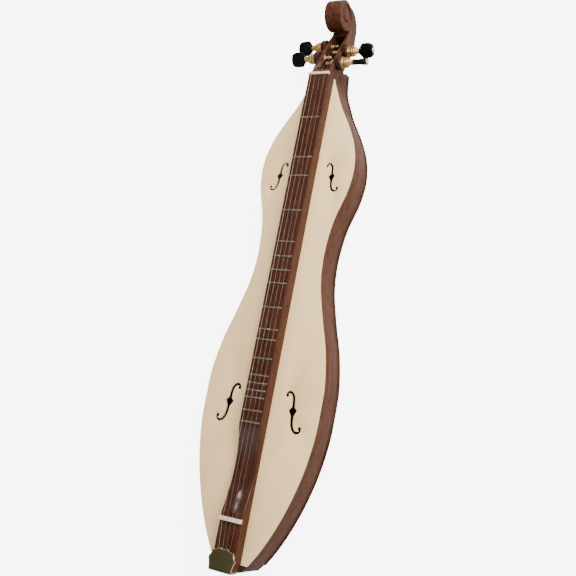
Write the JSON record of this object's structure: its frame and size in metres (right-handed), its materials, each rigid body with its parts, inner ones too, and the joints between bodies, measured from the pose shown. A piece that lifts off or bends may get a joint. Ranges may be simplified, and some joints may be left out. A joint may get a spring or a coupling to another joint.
{
  "type": "mountain dulcimer",
  "caption": "Hourglass mountain dulcimer with a fretted board down its middle, carved scroll head, geared tuning pegs and a brass tailpiece cover, for strumming on the lap.",
  "frame": {"origin": "on the face it lies on, under the centre of its bounding box", "axes": "+Y along the strings from tail to scroll, +Z out of the soundboard, +X to the treble side"},
  "size_m": [0.1968, 0.9172, 0.0836],
  "materials": {
    "black_button": "gloss",
    "bone": "polished bone",
    "boss_wood": "gloss lacquer",
    "brass_base": "polished",
    "brass_cover": "polished",
    "fret_nickel": "polished",
    "gear_steel": "machined",
    "gold_cap": "polished",
    "gold_housing": "polished gold plate",
    "gold_peg": "polished gold plate",
    "gold_post": "polished gold plate",
    "gold_shaft": "polished gold plate",
    "gold_sleeve": "polished gold plate",
    "inner_spruce": "raw",
    "rosewood_back": "satin lacquer",
    "rosewood_board": "satin lacquer",
    "rosewood_head": "satin lacquer",
    "rosewood_ribs": "satin lacquer",
    "rosewood_scroll": "gloss lacquer",
    "screw_nickel": "polished",
    "spruce": "satin",
    "string_steel": "bright",
    "strip_wood": "satin lacquer",
    "tail_wood": "satin lacquer"
  },
  "bodies": {
    "instrument": {"soundboard_bass_half": "spruce", "soundboard_treble_half": "spruce", "back_bass_half": "rosewood_back", "back_treble_half": "rosewood_back", "back_centre_strip": "strip_wood", "bass_rib": "rosewood_ribs", "treble_rib": "rosewood_ribs", "head_block": "rosewood_head", "tail_block": "tail_wood", "top_linings": "inner_spruce", "back_linings": "inner_spruce", "top_braces": "inner_spruce", "back_braces": "inner_spruce", "fretboard": "rosewood_board", "frets": "fret_nickel", "nut": "bone", "bridge": "bone", "string_1": "string_steel", "string_2": "string_steel", "string_3": "string_steel", "string_4": "string_steel", "pegbox_and_scroll": "rosewood_scroll", "peg_bosses": "boss_wood", "peg_nuts": "gold_peg", "sleeve_1": "gold_sleeve", "sleeve_2": "gold_sleeve", "sleeve_3": "gold_sleeve", "sleeve_4": "gold_sleeve", "housing_1": "gold_housing", "housing_2": "gold_housing", "housing_3": "gold_housing", "housing_4": "gold_housing", "tailpiece_base": "brass_base", "tailpiece_screws": "screw_nickel"},
    "knob_1": {"sun_shaft_1": "gold_shaft", "button_1": "black_button", "button_screw_1": "gold_cap"},
    "post_1": {"post_1": "gold_post"},
    "planet_1a": {"planet_1a": "gear_steel"},
    "planet_1b": {"planet_1b": "gear_steel"},
    "knob_2": {"sun_shaft_2": "gold_shaft", "button_2": "black_button", "button_screw_2": "gold_cap"},
    "post_2": {"post_2": "gold_post"},
    "planet_2a": {"planet_2a": "gear_steel"},
    "planet_2b": {"planet_2b": "gear_steel"},
    "knob_3": {"sun_shaft_3": "gold_shaft", "button_3": "black_button", "button_screw_3": "gold_cap"},
    "post_3": {"post_3": "gold_post"},
    "planet_3a": {"planet_3a": "gear_steel"},
    "planet_3b": {"planet_3b": "gear_steel"},
    "knob_4": {"sun_shaft_4": "gold_shaft", "button_4": "black_button", "button_screw_4": "gold_cap"},
    "post_4": {"post_4": "gold_post"},
    "planet_4a": {"planet_4a": "gear_steel"},
    "planet_4b": {"planet_4b": "gear_steel"},
    "cover": {"tailpiece_cover": "brass_cover"}
  },
  "joints": [
    {"name": "knob_1_turn", "type": "hinge", "parent": "instrument", "child": "knob_1", "pos_m": [-0.045, 0.35765, 0.0494], "axis": [1, 0, 0], "continuous": true},
    {"name": "post_1_turn", "type": "hinge", "parent": "instrument", "child": "post_1", "pos_m": [-0.01, 0.35765, 0.0494], "axis": [1, 0, 0], "continuous": true},
    {"name": "planet_1a_turn", "type": "hinge", "parent": "post_1", "child": "planet_1a", "pos_m": [-0.032, 0.35765, 0.0542], "axis": [1, 0, 0], "continuous": true},
    {"name": "planet_1b_turn", "type": "hinge", "parent": "post_1", "child": "planet_1b", "pos_m": [-0.032, 0.35765, 0.0446], "axis": [1, 0, 0], "continuous": true},
    {"name": "knob_2_turn", "type": "hinge", "parent": "instrument", "child": "knob_2", "pos_m": [-0.045, 0.38765, 0.0334], "axis": [1, 0, 0], "continuous": true},
    {"name": "post_2_turn", "type": "hinge", "parent": "instrument", "child": "post_2", "pos_m": [-0.01, 0.38765, 0.0334], "axis": [1, 0, 0], "continuous": true},
    {"name": "planet_2a_turn", "type": "hinge", "parent": "post_2", "child": "planet_2a", "pos_m": [-0.032, 0.38765, 0.0382], "axis": [1, 0, 0], "continuous": true},
    {"name": "planet_2b_turn", "type": "hinge", "parent": "post_2", "child": "planet_2b", "pos_m": [-0.032, 0.38765, 0.0286], "axis": [1, 0, 0], "continuous": true},
    {"name": "knob_3_turn", "type": "hinge", "parent": "instrument", "child": "knob_3", "pos_m": [0.045, 0.37165, 0.0414], "axis": [1, 0, 0], "continuous": true},
    {"name": "post_3_turn", "type": "hinge", "parent": "instrument", "child": "post_3", "pos_m": [0.01, 0.37165, 0.0414], "axis": [1, 0, 0], "continuous": true},
    {"name": "planet_3a_turn", "type": "hinge", "parent": "post_3", "child": "planet_3a", "pos_m": [0.032, 0.37165, 0.0366], "axis": [1, 0, 0], "continuous": true},
    {"name": "planet_3b_turn", "type": "hinge", "parent": "post_3", "child": "planet_3b", "pos_m": [0.032, 0.37165, 0.0462], "axis": [1, 0, 0], "continuous": true},
    {"name": "knob_4_turn", "type": "hinge", "parent": "instrument", "child": "knob_4", "pos_m": [0.045, 0.34265, 0.0569], "axis": [1, 0, 0], "continuous": true},
    {"name": "post_4_turn", "type": "hinge", "parent": "instrument", "child": "post_4", "pos_m": [0.01, 0.34265, 0.0569], "axis": [1, 0, 0], "continuous": true},
    {"name": "planet_4a_turn", "type": "hinge", "parent": "post_4", "child": "planet_4a", "pos_m": [0.032, 0.34265, 0.0521], "axis": [1, 0, 0], "continuous": true},
    {"name": "planet_4b_turn", "type": "hinge", "parent": "post_4", "child": "planet_4b", "pos_m": [0.032, 0.34265, 0.0617], "axis": [1, 0, 0], "continuous": true},
    {"name": "cover_slide", "type": "slide", "parent": "instrument", "child": "cover", "axis": [0, -1, 0], "range_m": [0, 0.04]}
  ],
  "couplings": [
    {"joint": "post_1_turn", "follows": "knob_1_turn", "ratio": 0.25},
    {"joint": "planet_1a_turn", "follows": "knob_1_turn", "ratio": -0.75},
    {"joint": "planet_1b_turn", "follows": "knob_1_turn", "ratio": -0.75},
    {"joint": "post_2_turn", "follows": "knob_2_turn", "ratio": 0.25},
    {"joint": "planet_2a_turn", "follows": "knob_2_turn", "ratio": -0.75},
    {"joint": "planet_2b_turn", "follows": "knob_2_turn", "ratio": -0.75},
    {"joint": "post_3_turn", "follows": "knob_3_turn", "ratio": 0.25},
    {"joint": "planet_3a_turn", "follows": "knob_3_turn", "ratio": -0.75},
    {"joint": "planet_3b_turn", "follows": "knob_3_turn", "ratio": -0.75},
    {"joint": "post_4_turn", "follows": "knob_4_turn", "ratio": 0.25},
    {"joint": "planet_4a_turn", "follows": "knob_4_turn", "ratio": -0.75},
    {"joint": "planet_4b_turn", "follows": "knob_4_turn", "ratio": -0.75}
  ]
}
